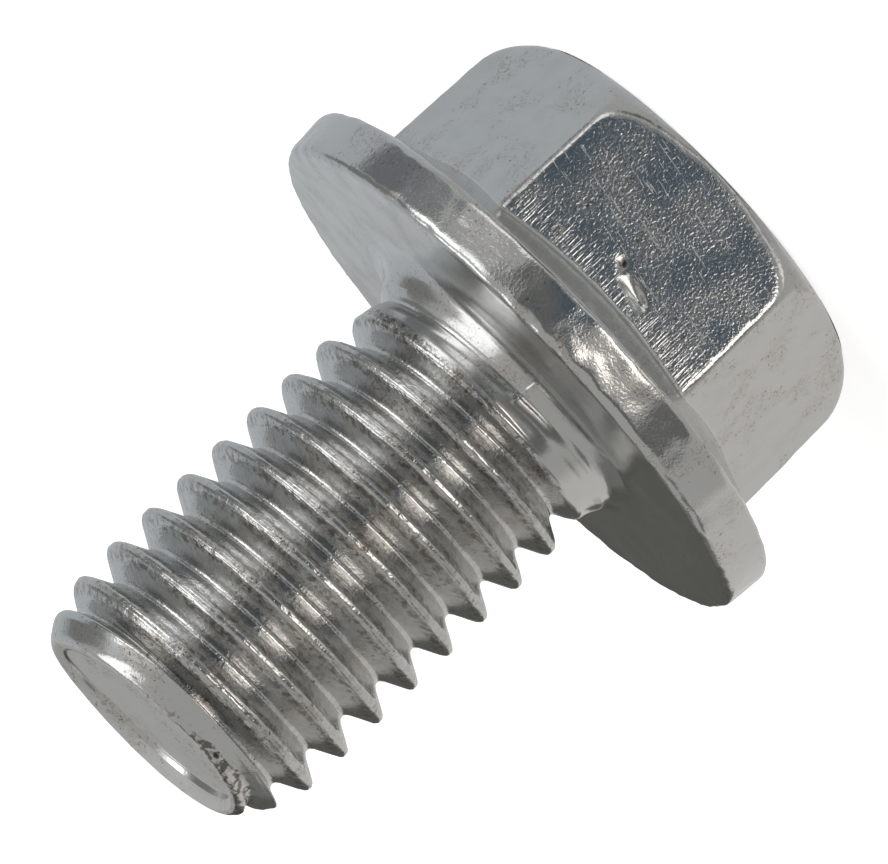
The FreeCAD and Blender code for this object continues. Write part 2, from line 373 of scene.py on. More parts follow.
# Cupped end: its taper, nose and lip, then the cup, which is deep with a steep wall on one
# side and fades out on the other. Its front was pressed down as the blank was sheared
tip = {
    "taperStart": 3.14,
    "gentleBack": 1.98,
    "gentleRadius": 4.745,
    "steepBack": 1.29,
    "steepRadius": 4.47,
    "noseBack": 0.58,
    "noseRadius": 4.26,
    "noseLead": 0.05,
    "noseRounding": 0.12,
    "noseRows": 3,
    "lipRadius": 3.86,
    "lipRounding": 0.26,
    "lipWear": (0.1, 3.9, 0.9, 21.0),
    "lipLead": 5,
    "lipRows": 6,
    "lipLap": 3,  # rows of the lip that have the cup's finish
    "mouthRadius": 3.62,
    "bevelRadius": 3.42,
    "floorRadius": 3.28,
    "steepTurn": 115.0,
    "steepPower": 1.5,
    "rimDepth": 0.06,
    "steepDepth": 0.6,
    "middleDepth": 0.2,
    "bevelShare": 0.4,
    # each rounding's start and end, as shares of the way to the next corner
    "lipEnd": 0.9,
    "mouthStart": 0.08,
    "mouthEnd": 0.4,
    "bevelStart": 0.3,
    "bevelEnd": 0.2,
    "wallEnd": 0.15,
    "floorStart": 0.2,
    "bevelRows": 3,
    "wallRows": 4,
    "cupRows": (0.3, 0.5, 0.7, 0.85, 0.95),
    "frontDrop": 0.8,
    "frontTurn": 245.0,
    "frontPower": 1.5,
    "pressedLength": 1.7,
    "noseLength": 0.6,
    "offCentre": 0.1,
}


def blankRadius(height):
    # the shank's radius before the thread is rolled
    fillet = shank["neckFillet"]
    inFillet = np.clip(fillet - height, 0, fillet)
    curve = fillet - np.sqrt(fillet**2 - inFillet**2)
    heights = [
        shank["climbStart"],
        shank["neckEnd"],
        shank["crestStart"],
        shankLength - tip["taperStart"],
        shankLength - tip["gentleBack"],
        shankLength - tip["steepBack"],
        shankLength - tip["noseBack"],
    ]
    radii = [
        shank["neckRadius"] + shank["neckTaper"],
        shank["neckRadius"],
        shank["crestRadius"],
        shank["crestRadius"],
        tip["gentleRadius"],
        tip["steepRadius"],
        tip["noseRadius"],
    ]
    return np.interp(height, heights, radii) + curve


def smoothLow(a, b, blend):
    # the lower of two surfaces, with a rounding where they cross
    share = np.clip(0.5 + 0.5 * (b - a) / blend, 0, 1)
    return b + (a - b) * share - blend * share * (1 - share)


def grooveRadius(turn, height):
    # the radius of the thread groove, which lies beyond the crests between grooves
    turns = (turn - math.pi) / (2 * math.pi)
    position = (height - thread["start"]) / thread["pitch"] - turns
    nearest = np.round(position)
    fromMiddle = np.abs(position - nearest) * thread["pitch"]
    along = nearest + turns
    depth = shank["crestRadius"] - thread["rootRadius"]
    floorHalf = thread["rootFlat"] / 2
    flankHalf = (thread["pitch"] - thread["crestFlat"]) / 2 - floorHalf
    flank = (fromMiddle - floorHalf) * depth / flankHalf
    rise = -smoothLow(-flank, np.zeros_like(flank), thread["rootBlend"])
    floor = thread["rootRadius"] + np.maximum(-along, 0) * thread["runOutRise"]
    return floor + rise


def shankRadius(turn, height, blank):
    return smoothLow(blank, grooveRadius(turn, height), thread["crestBlend"])


def crestFold(turns, step):
    # the fold that thread rolling leaves along the middle of a crest, deeper here and there
    aside = (thread["pitch"] / 2 - abs(step)) / thread["foldHalf"]
    radius, size, seed = thread["foldWear"]
    places = [(radius * math.cos(t), radius * math.sin(t), 0) for t in turns]
    share = np.array([thread["foldUsual"] + wander(place, size, seed) for place in places])
    return thread["foldDepth"] * np.maximum(share, 0) * math.exp(-aside * aside)


def neckRows(faceStart):
    fillet = shank["neckFillet"]
    filletFoot = row(shank["neckRadius"] + fillet, 0)
    rows = straight(faceStart, filletFoot, shank["faceRows"])
    last = math.acos(1 - shank["climbStart"] / fillet)
    for i in range(shank["filletRows"] + 1):
        turn = last * i / shank["filletRows"]
        height = fillet - fillet * math.cos(turn)
        across = shank["neckRadius"] + fillet - fillet * math.sin(turn)
        across += shank["neckTaper"] * height / shank["climbStart"]
        rows.append(row(shankRadius(columns, height, np.full(len(columns), across)), height))
    return rows, ["face"] * len(rows)


def climbingRows():
    # rows that climb with the thread, squared off where they start and end
    steps = sorted(set(thread["steps"]) | {-x for x in thread["steps"][1:-1]})
    turns = np.append(columns, columns[0] + 2 * math.pi)
    foldEnd = shank["climbEnd"] - thread["foldStop"]
    rows = []
    for groove in range(*thread["turns"]):
        for step in steps:
            climb = (turns - math.pi) / (2 * math.pi) + groove
            height = thread["start"] + thread["pitch"] * climb + step
            height = np.clip(height, shank["climbStart"], shank["climbEnd"])
            across = shankRadius(turns, height, blankRadius(height))
            folded = (height > shank["crestStart"]) & (height < foldEnd)
            across = across - np.where(folded, crestFold(turns, step), 0)
            rows.append((turns, across, height))
    return rows


def tipRows():
    start = row(blankRadius(shank["climbEnd"]), shank["climbEnd"])
    noseCorner = row(tip["noseRadius"], shankLength - tip["noseBack"])
    lipCorner = row(tip["lipRadius"], shankLength)
    cupMouth = row(tip["mouthRadius"], shankLength)
    facing = (1 + np.cos(columns - math.radians(tip["steepTurn"]))) / 2
    steepSide = facing ** tip["steepPower"]
    depth = tip["rimDepth"] + (tip["steepDepth"] - tip["rimDepth"]) * steepSide
    bevelFoot = row(tip["bevelRadius"], shankLength - depth * tip["bevelShare"])
    cupFloor = row(tip["floorRadius"], shankLength - depth)
    middle = row(0, shankLength - tip["middleDepth"])

    # nose and lip
    lip = tip["lipRounding"] + ragged(tip["lipWear"])
    noseStart = stepBack(noseCorner, start, tip["noseLead"])
    noseEnd = stepBack(noseCorner, lipCorner, tip["noseRounding"])
    nose = [start] + roundCorner(noseStart, noseCorner, noseEnd, tip["noseRows"])
    beforeLip = stepBack(lipCorner, noseCorner, lip)
    nose += straight(noseEnd, beforeLip, tip["lipLead"])
    lipEnd = between(lipCorner, cupMouth, tip["lipEnd"])
    nose += roundCorner(beforeLip, lipCorner, lipEnd, tip["lipRows"])

    # bevel at the mouth of the cup
    mouthStart = between(cupMouth, lipCorner, tip["mouthStart"])
    mouthEnd = between(cupMouth, bevelFoot, tip["mouthEnd"])
    bevel = roundCorner(mouthStart, cupMouth, mouthEnd, tip["bevelRows"])
    bevelStart = between(bevelFoot, cupMouth, tip["bevelStart"])
    bevelEnd = between(bevelFoot, cupFloor, tip["bevelEnd"])
    bevel += roundCorner(bevelStart, bevelFoot, bevelEnd, tip["bevelRows"])

    # wall and floor
    wallEnd = between(cupFloor, bevelFoot, tip["wallEnd"])
    wall = straight(bevel[-1], wallEnd, tip["wallRows"])
    floorStart = stepBack(cupFloor, middle, tip["floorStart"])
    inner = roundCorner(wallEnd, cupFloor, floorStart, tip["wallRows"])
    inner += [between(cupFloor, middle, share) for share in tip["cupRows"]]

    # the steep wall keeps the bright finish of the tip, down to the cup's floor
    path = nose + bevel + wall + inner
    finish = ["tip"] * (len(nose) - tip["lipLap"])
    finish += ["cup"] * (len(nose + bevel) - len(finish))
    finish += ["tip"] * (len(wall) + 1)
    finish += ["cup"] * (len(path) - len(finish))
    rows = [row(shankRadius(columns, height, across), height) for across, height in path]
    return rows, finish


# Wear that moves the surface itself. Each ripple is its depth, the size of its waves and
# its seed, and each zone says where a kind of wear starts and how soon it is full
wear = {
    "ripple": (0.003, 1.3, 31.0),
    "rimRipple": (0.026, 0.75, 37.0),
    "rimDents": (0.014, 0.33, 41.0),
    "neckRipple": (0.004, 0.5, 43.0),
    "threadRipple": (0.005, 0.45, 45.0),
    "crestNicks": (0.02, 0.24, 47.0),
    "tipRipple": (0.008, 0.7, 53.0),
    "lipBurr": (0.045, 0.26, 57.0),
}
zones = {
    "slack": 0.01,
    "rimFrom": 8.8,
    "rimWidth": 0.7,
    "neckTop": 2.2,
    "neckRadius": 6.0,
    "neckStretch": 2.5,
    "threadHeights": (1.6, 15.3),
    "threadRadius": 4.3,
    "nicksFrom": 4.55,
    "nicksWidth": 0.2,
    "nicksStretch": 0.6,
    "tipLength": 0.9,
    "burrRadius": 3.85,
    "burrWidth": 0.4,
}

# The side of the lip that was rolled over: a level direction, and how sharply its wear
# starts on that side
burrSide = {
    "x": -0.77,
    "y": -0.64,
    "sharpness": 5.0,
    "start": 2.5,
}

# The line that the forging dies left across the bearing face, fading out towards the rim
seam = {
    "height": 0.03,
    "half": 0.05,
    "lean": 0.12,
    "radii": (4.55, 9.3),
    "heights": (-0.05, 1.05),
    "fadeFrom": 4.6,
    "fadeWidth": 5.5,
}

# A pit and a gouge in the front flat: start x and z, end x and z, half width at the start
# and the end, depth at the start and the end
dents = {
    "marks": [
        (0.22, -3.95, 0.12, -3.86, 0.15, 0.13, 0.04, 0.04),
        (-0.05, -3.73, -1.12, -3.42, 0.24, 0.12, 0.01, 0.12),
    ],
    "front": -6.5,
    "top": -3.0,
    "steepness": 4,
}


def rippleAt(key, place):
    depth, size, seed = wear[key]
    return depth * wander(place, size, seed)


def lipBurr(x, y, z, across):
    # the rough edge on the side of the lip that was rolled over
    onLip = max(0.0, 1 - abs(across - zones["burrRadius"]) / zones["burrWidth"])
    if onLip == 0:
        return 0.0
    side = (burrSide["x"] * x + burrSide["y"] * y) / across
    onSide = min(1.0, max(0.0, side * burrSide["sharpness"] - burrSide["start"]))
    return onLip * onSide * rippleAt("lipBurr", (x, y, z))


def seamHeight(x, across):
    aside = abs(x + seam["lean"] * across) / seam["half"]
    fade = max(0.0, 1 - (across - seam["fadeFrom"]) / seam["fadeWidth"]) ** 2
    return seam["height"] * fade * math.exp(-aside * aside)


def dentDepth(x, z, mark):
    startX, startZ, endX, endZ, startHalf, endHalf, startDeep, endDeep = mark
    along = Vector((endX - startX, endZ - startZ))
    share = (Vector((x - startX, z - startZ)).dot(along)) / along.length_squared
    share = min(1.0, max(0.0, share))
    aside = math.hypot(x - startX - along.x * share, z - startZ - along.y * share)
    half = startHalf + (endHalf - startHalf) * share
    deep = startDeep + (endDeep - startDeep) * share
    return deep * math.exp(-((aside / half) ** dents["steepness"]))


def wornBy(place):
    # how far the surface stands proud of its plain form, along its normal
    x, y, z = place
    across = math.hypot(x, y)
    proud = rippleAt("ripple", place)
    if across > zones["rimFrom"] and z < zones["slack"]:
        share = min(1.0, (across - zones["rimFrom"]) / zones["rimWidth"])
        proud += share * rippleAt("rimRipple", place)
        proud += share * rippleAt("rimDents", place)
    if -zones["slack"] < z < zones["neckTop"] and across < zones["neckRadius"]:
        proud += rippleAt("neckRipple", (x, y, z * zones["neckStretch"]))
    threadLow, threadHigh = zones["threadHeights"]
    if threadLow < z < threadHigh and across > zones["threadRadius"]:
        proud += rippleAt("threadRipple", place)
        share = min(1.0, max(0.0, (across - zones["nicksFrom"]) / zones["nicksWidth"]))
        proud += share * rippleAt("crestNicks", (x, y, z * zones["nicksStretch"]))
    if z > shankLength - zones["tipLength"]:
        proud += rippleAt("tipRipple", place)
        proud += lipBurr(x, y, z, across)
    seamLow, seamHigh = seam["heights"]
    seamInside, seamOutside = seam["radii"]
    if y < 0 and seamLow < z < seamHigh and seamInside < across < seamOutside:
        proud += seamHeight(x, across)
    if y < dents["front"] and z < dents["top"]:
        for mark in dents["marks"]:
            proud -= dentDepth(x, z, mark)
    return proud


def pressed(place):
    # the flange pushed off centre, and the end pushed down at its front by the shearing
    x, y, z = place
    across = math.hypot(x, y)
    if across > flange["centredWithin"] and z < flange["shiftTop"]:
        outside = (across - flange["centredWithin"]) / flange["shiftWidth"]
        x += flange["offCentre"] * min(1.0, outside)
    fromEnd = z - shankLength + tip["pressedLength"]
    if fromEnd > 0:
        share = min(1.0, fromEnd / (tip["pressedLength"] - tip["noseLength"]))
        x += tip["offCentre"] * share
        turn = math.radians(tip["frontTurn"])
        forward = (x * math.cos(turn) + y * math.sin(turn)) / tip["lipRadius"]
        forward = max(0.0, (1 + forward) / 2)
        z -= share * tip["frontDrop"] * forward ** tip["frontPower"]
    return Vector((x, y, min(max(z, -headHeight), shankLength)))


finishes = ["flats", "crown", "flange", "face", "thread", "tip", "cup"]

# How close points lie that are one point, and how thin a face is that is none
cleaning = {
    "samePoint": 1e-4,
    "thinFace": 1e-5,
}


def layFaces():
    # every point and face of the bolt in its plain form, and each face's finish
    headPart, headFinish, slopeStart, foot, rimTop = headRows()
    flangePart, flangeFinish, faceStart = flangeRows(slopeStart, foot, rimTop)
    neckPart, neckFinish = neckRows(faceStart)
    tipPart, tipFinish = tipRows()
    points, faces, kinds = [], [], []
    count = len(columns)

    def addRings(rows, finish):
        first = len(points)
        for across, height in rows:
            for r, t, z in zip(across, columns, height):
                points.append((r * math.cos(t), r * math.sin(t), z))
        for j in range(len(rows) - 1):
            for i in range(count):
                a, b = first + j * count + i, first + j * count + (i + 1) % count
                faces.append((a, b, b + count, a + count))
                kinds.append(finish[j])
        return first

    def addCap(first, height, outward, finish):
        points.append((0, 0, height))
        centre = len(points) - 1
        for i in range(count):
            a, b = first + i, first + (i + 1) % count
            faces.append((centre, b, a) if outward else (centre, a, b))
            kinds.append(finish)

    def addClimbing(rows):
        first = len(points)
        for turns, across, height in rows:
            for r, t, z in zip(across, turns, height):
                points.append((r * math.cos(t), r * math.sin(t), z))
        wide = count + 1
        for j in range(len(rows) - 1):
            for i in range(count):
                a = first + j * wide + i
                faces.append((a, a + 1, a + 1 + wide, a + wide))
                kinds.append(shankFinish(rows[j][2][i]))

    start = addRings(headPart + flangePart + neckPart, headFinish + flangeFinish + neckFinish)
    addCap(start, -headHeight, True, "crown")
    addClimbing(climbingRows())
    start = addRings(tipPart, tipFinish)
    lastRing = start + (len(tipPart) - 1) * count
    addCap(lastRing, shankLength - tip["middleDepth"], False, "cup")
    return points, faces, kinds


def shankFinish(height):
    if height < shank["neckEnd"] + shank["neckFinish"]:
        return "face"
    return "thread" if height < shankLength - shank["tipFinish"] else "tip"


def buildMesh():
    points, faces, kinds = layFaces()
    mesh = bpy.data.meshes.new("wheelBolt")
    mesh.from_pydata([Vector(p) for p in points], [], faces)
    for polygon, kind in zip(mesh.polygons, kinds):
        polygon.material_index = finishes.index(kind)
    work = bmesh.new()
    work.from_mesh(mesh)
    bmesh.ops.remove_doubles(work, verts=work.verts, dist=cleaning["samePoint"])
    bmesh.ops.dissolve_degenerate(work, edges=work.edges, dist=cleaning["thinFace"])
    bmesh.ops.triangulate(work, faces=[f for f in work.faces if len(f.verts) > 4])
    work.normal_update()
    moves = [(v, v.normal * wornBy(v.co)) for v in work.verts]
    for vertex, move in moves:
        vertex.co = pressed(vertex.co + move) * mm
    openEdges = sum(1 for e in work.edges if not e.is_manifold)
    triangles = sum(len(f.verts) - 2 for f in work.faces)
    print("mesh", len(work.verts), "points,", triangles, "triangles,", openEdges, "open edges")
    for face in work.faces:
        face.smooth = True
    work.to_mesh(mesh)
    work.free()
    return mesh


bolt = bpy.data.objects.new("wheelBolt", buildMesh())
bpy.context.scene.collection.objects.link(bolt)
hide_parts("wheel_bolt")
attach(bolt, "root")
print("bolt ready")


# Short ways to add nodes to a material
def addNode(tree, kind, **inputs):
    node = tree.nodes.new(kind)
    for name, item in inputs.items():
        if hasattr(node, name) and name not in node.inputs:
            setattr(node, name, item)
        elif isinstance(item, bpy.types.NodeSocket):
            tree.links.new(item, node.inputs[name])
        else:
            node.inputs[name].default_value = item
    return node


def calculate(tree, operation, first, second=0.0, third=0.0):
    node = tree.nodes.new("ShaderNodeMath")
    node.operation = operation
    for i, item in enumerate((first, second, third)):
        if isinstance(item, bpy.types.NodeSocket):
            tree.links.new(item, node.inputs[i])
        else:
            node.inputs[i].default_value = item
    return node.outputs[0]


def times(tree, first, second):
    return calculate(tree, "MULTIPLY", first, second)


def distanceFrom(tree, item, middle):
    return calculate(tree, "ABSOLUTE", calculate(tree, "SUBTRACT", item, middle))


def ramp(tree, item, fromLow, fromHigh, toLow=0.0, toHigh=1.0):
    node = tree.nodes.new("ShaderNodeMapRange")
    node.interpolation_type = "SMOOTHSTEP"
    tree.links.new(item, node.inputs[0])
    for i, number in enumerate((fromLow, fromHigh, toLow, toHigh)):
        node.inputs[i + 1].default_value = number
    return node.outputs[0]


def mixColour(tree, share, first, second):
    # sockets 6 and 7 of a Mix node are its two colours, and output 2 is the mixed colour
    node = tree.nodes.new("ShaderNodeMix")
    node.data_type = "RGBA"
    for i, item in ((0, share), (6, first), (7, second)):
        if isinstance(item, bpy.types.NodeSocket):
            tree.links.new(item, node.inputs[i])
        else:
            node.inputs[i].default_value = item if i == 0 else (*item, 1)
    return node.outputs[2]


def pattern(tree, place, size, detail=2.0, rough=0.5, twist=0.0):
    # noise whose grains are about the given size in millimetres
    node = addNode(tree, "ShaderNodeTexNoise", Vector=place, Scale=1 / size, Detail=detail)
    node.inputs["Roughness"].default_value = rough
    node.inputs["Distortion"].default_value = twist
    return node.outputs[0]


def lengthOf(tree, first, second):
    # the length of a flat vector, from its two sides
    sides = addNode(tree, "ShaderNodeCombineXYZ", X=first, Y=second)
    length = addNode(tree, "ShaderNodeVectorMath", operation="LENGTH")
    tree.links.new(sides.outputs[0], length.inputs[0])
    return length.outputs["Value"]


def bumped(tree, height, distance, normal=None):
    bump = addNode(tree, "ShaderNodeBump", Height=height)
    bump.inputs["Distance"].default_value = distance * mm
    if normal is not None:
        tree.links.new(normal, bump.inputs["Normal"])
    return bump.outputs[0]


# Bright zinc plate with duller patches, thin brown lines and specks where dirt gathers. A
# noise is its size, then its detail, roughness and twist. A range is the two values of the
# noise between which a mark comes in
zinc = {
    "colour": (0.60, 0.605, 0.60),
    "dull": (0.50, 0.50, 0.475),
    "dullNoise": (0.8, 4.0),
    "dullRange": (0.35, 0.7),
    "patchNoise": (1.6, 3.0),
    "stain": (0.42, 0.37, 0.31),
    "stainNoise": (0.5, 5.0, 0.6, 0.8),
    "stainMiddle": 0.5,
    "stainWidth": (0.03, 0.0),
    "stainPatches": (0.48, 0.62),
    "speck": (0.20, 0.155, 0.12),
    "speckNoise": (0.13, 2.0),
    "speckRange": (0.64, 0.68),
    "speckPatches": (0.42, 0.6),
    "seam": (0.12, 0.095, 0.08),
    "grainNoise": (1.0, 0.5, 0.6),  # each finish has its own size of grain
    "roughPatches": (0.3, 0.7),
    "roughSpread": (-0.03, 0.05),
}

# What changes from one surface to the next: grain is its size and its depth
looks = {
    "flats": dict(metal=1.0, roughness=0.14, grain=(0.1, 0.0095), dull=0.3, specks=0.6),
    "crown": dict(metal=1.0, roughness=0.2, grain=(0.12, 0.008), dull=0.1, specks=0.8),
    "flange": dict(metal=1.0, roughness=0.13, grain=(0.1, 0.006), dull=0.1, specks=0.7),
    "face": dict(metal=1.0, roughness=0.15, grain=(0.15, 0.002), dull=0.1, specks=0.5),
    "thread": dict(metal=1.0, roughness=0.13, grain=(0.1, 0.012), dull=0.35, specks=0.9),
    "tip": dict(metal=1.0, roughness=0.15, grain=(0.12, 0.004), dull=0.1, specks=0.9),
    "cup": dict(metal=0.15, roughness=0.5, grain=(0.1, 0.01), dull=0.0, specks=1.0),
}


def dirtyColour(tree, place, patches, look):
    dull = pattern(tree, place, *zinc["dullNoise"])
    dullShare = ramp(tree, dull, *zinc["dullRange"], 0.0, look["dull"])
    colour = mixColour(tree, dullShare, zinc["colour"], zinc["dull"])
    lines = pattern(tree, place, *zinc["stainNoise"])
    lines = distanceFrom(tree, lines, zinc["stainMiddle"])
    dirty = ramp(tree, patches, *zinc["stainPatches"])
    lineShare = times(tree, ramp(tree, lines, *zinc["stainWidth"]), dirty)
    colour = mixColour(tree, times(tree, lineShare, look["specks"]), colour, zinc["stain"])
    specks = ramp(tree, pattern(tree, place, *zinc["speckNoise"]), *zinc["speckRange"])
    speckShare = times(tree, specks, ramp(tree, patches, *zinc["speckPatches"]))
    return mixColour(tree, times(tree, speckShare, look["specks"]), colour, zinc["speck"])


# Flats: short score lines up from the foot, slanting scratches over the front flat, a
# grain that is stronger in some patches, and the gouge, where the grain is smeared out and
# the colour is made darker in the pit
scores = {
    "width": 0.07,
    "length": 1.0,
    "top": -4.2,
    "foot": -3.0,
    "slant": 0.18,
    "noise": (1.0, 1.0),
    "scratchLength": 0.9,
    "scratchRange": (0.68, 0.75),
    "depth": 0.011,
    "front": (-6.3, -6.6),
    "grainPatches": (0.34, 0.62),
    "grainLeast": 0.72,
}
gouge = {
    "x": -0.56,
    "z": -3.58,
    "squeeze": 0.5,  # it is twice as long as wide
    "reach": (0.34, 0.18),
    "grainLeft": 0.25,
    "darkX": 0.2,
    "darkZ": -3.92,
    "darkReach": (0.17, 0.07),
    "darkShare": 0.9,
}


def smearedInGouge(tree, x, y, z):
    # how much of the grain is left
    away = calculate(tree, "MULTIPLY_ADD", x, gouge["squeeze"], -gouge["x"] * gouge["squeeze"])
    below = calculate(tree, "ADD", z, -gouge["z"])
    inside = ramp(tree, lengthOf(tree, away, below), *gouge["reach"])
    inside = times(tree, inside, ramp(tree, y, *scores["front"]))
    return ramp(tree, inside, 0.0, 1.0, 1.0, gouge["grainLeft"])


def scoreLines(tree, x, y, z):
    fine = scores["width"]
    upright = addNode(
        tree,
        "ShaderNodeCombineXYZ",
        X=calculate(tree, "DIVIDE", x, fine),
        Y=calculate(tree, "DIVIDE", y, fine),
        Z=calculate(tree, "DIVIDE", z, scores["length"]),
    )
    lines = pattern(tree, upright.outputs[0], *scores["noise"])
    lines = times(tree, lines, ramp(tree, z, scores["top"], scores["foot"]))
    climb = calculate(tree, "MULTIPLY_ADD", x, scores["slant"], z)
    slanting = addNode(
        tree,
        "ShaderNodeCombineXYZ",
        X=calculate(tree, "DIVIDE", x, scores["scratchLength"]),
        Y=calculate(tree, "DIVIDE", climb, fine),
        Z=calculate(tree, "DIVIDE", y, scores["scratchLength"]),
    )
    cuts = pattern(tree, slanting.outputs[0], *scores["noise"])
    cuts = ramp(tree, cuts, *scores["scratchRange"])
    cuts = times(tree, cuts, ramp(tree, y, *scores["front"]))
    return calculate(tree, "SUBTRACT", lines, cuts)


# the colour is made darker, towards a dark brown, over the pit in the front flat
def pitDarkening(tree, x, y, z, colour):
    away = calculate(tree, "ADD", x, -gouge["darkX"])
    below = calculate(tree, "ADD", z, -gouge["darkZ"])
    near = lengthOf(tree, away, below)
    share = ramp(tree, near, *gouge["darkReach"], 0.0, gouge["darkShare"])
    share = times(tree, share, ramp(tree, y, *scores["front"]))
    return mixColour(tree, share, colour, zinc["seam"])


# Drag lines of trimming and thread rolling, which run round the bolt: noise that changes
# fast with the distance from the axis and slowly round it
dragLines = {
    "width": 0.1,
    "perTurn": 5.0,
    "climb": 3.0,
    "depth": {"thread": 0.022, "tip": 0.004, "face": 0.003},
    "fade": (4.2, 4.75),
    "least": 0.25,
}


def addDragLines(tree, x, y, z, radius, normal, depth):
    level = addNode(tree, "ShaderNodeCombineXYZ", X=x, Y=y)
    outward = addNode(tree, "ShaderNodeVectorMath", operation="NORMALIZE")
    tree.links.new(level.outputs[0], outward.inputs[0])
    turn = addNode(tree, "ShaderNodeSeparateXYZ", Vector=outward.outputs[0])
    streak = addNode(
        tree,
        "ShaderNodeCombineXYZ",
        X=times(tree, turn.outputs[0], dragLines["perTurn"]),
        Y=times(tree, turn.outputs[1], dragLines["perTurn"]),
        Z=calculate(tree, "DIVIDE", radius, dragLines["width"]),
    )
    lines = addNode(tree, "ShaderNodeTexNoise", noise_dimensions="4D", Scale=1.0, Detail=1.0)
    tree.links.new(streak.outputs[0], lines.inputs["Vector"])
    upward = calculate(tree, "DIVIDE", z, dragLines["climb"] * dragLines["width"])
    tree.links.new(upward, lines.inputs["W"])
    fade = ramp(tree, radius, *dragLines["fade"], dragLines["least"], 1.0)
    return bumped(tree, times(tree, lines.outputs[0], fade), depth, normal)


# Dirt in broken lines under the thread's crests
crestGrime = {
    "colour": (0.19, 0.165, 0.14),
    "noise": (0.25, 3.0, 0.6),
    "range": (0.46, 0.6),
    "radius": 4.58,
    "width": (0.24, 0.04),
    "shares": (0.12, 0.75),
}


def addCrestGrime(tree, place, radius, colour):
    grime = pattern(tree, place, *crestGrime["noise"])
    grime = ramp(tree, grime, *crestGrime["range"])
    under = distanceFrom(tree, radius, crestGrime["radius"])
    under = ramp(tree, under, *crestGrime["width"], *crestGrime["shares"])
    return mixColour(tree, times(tree, grime, under), colour, crestGrime["colour"])


# The brown, jagged edge that the end was rolled over to, on one side of the lip
brownEdge = {
    "noise": (0.3, 2.0),
    "swing": 0.7,
    "radius": 4.12,
    "width": (0.09, 0.02),
    "side": (2.2, 3.0),
    "share": 0.85,
}


def addBrownEdge(tree, place, x, y, radius, colour):
    jagged = pattern(tree, place, *brownEdge["noise"])
    reach = calculate(tree, "MULTIPLY_ADD", jagged, brownEdge["swing"], radius)
    reach = distanceFrom(tree, reach, brownEdge["radius"])
    side = calculate(tree, "MULTIPLY_ADD", x, burrSide["x"], times(tree, y, burrSide["y"]))
    onEdge = ramp(tree, reach, *brownEdge["width"])
    share = times(tree, onEdge, ramp(tree, side, *brownEdge["side"]))
    return mixColour(tree, times(tree, share, brownEdge["share"]), colour, zinc["seam"])


def zincPlate(name, look):
    material = bpy.data.materials.new(name + "Zinc")
    material.use_nodes = True
    tree = material.node_tree
    tree.nodes.clear()
    metres = addNode(tree, "ShaderNodeTexCoord").outputs["Object"]
    scaled = addNode(tree, "ShaderNodeVectorMath", operation="SCALE")
    tree.links.new(metres, scaled.inputs[0])
    scaled.inputs["Scale"].default_value = 1 / mm
    place = scaled.outputs[0]
    x, y, z = addNode(tree, "ShaderNodeSeparateXYZ", Vector=place).outputs
    radius = lengthOf(tree, x, y)
    patches = pattern(tree, place, *zinc["patchNoise"])
    colour = dirtyColour(tree, place, patches, look)
    size, depth = look["grain"]
    grain = pattern(tree, place, size, *zinc["grainNoise"])
    if name == "flats":
        strength = ramp(tree, patches, *scores["grainPatches"], scores["grainLeast"], 1.0)
        smeared = smearedInGouge(tree, x, y, z)
        grain = times(tree, times(tree, grain, strength), smeared)
        normal = bumped(tree, grain, depth)
        scored = times(tree, scoreLines(tree, x, y, z), smeared)
        normal = bumped(tree, scored, scores["depth"], normal)
        colour = pitDarkening(tree, x, y, z, colour)
    else:
        normal = bumped(tree, grain, depth)
    if name in dragLines["depth"]:
        normal = addDragLines(tree, x, y, z, radius, normal, dragLines["depth"][name])
    if name == "thread":
        colour = addCrestGrime(tree, place, radius, colour)
    if name in ("tip", "cup"):
        colour = addBrownEdge(tree, place, x, y, radius, colour)

    shader = addNode(tree, "ShaderNodeBsdfPrincipled")
    tree.links.new(colour, shader.inputs["Base Color"])
    tree.links.new(normal, shader.inputs["Normal"])
    shader.inputs["Metallic"].default_value = look["metal"]
    smooth, rough = [look["roughness"] + spread for spread in zinc["roughSpread"]]
    roughness = ramp(tree, patches, *zinc["roughPatches"], smooth, rough)
    tree.links.new(roughness, shader.inputs["Roughness"])
    output = addNode(tree, "ShaderNodeOutputMaterial")
    tree.links.new(shader.outputs[0], output.inputs[0])
    return material


for name in finishes:
    bolt.data.materials.append(zincPlate(name, looks[name]))
print("materials ready")


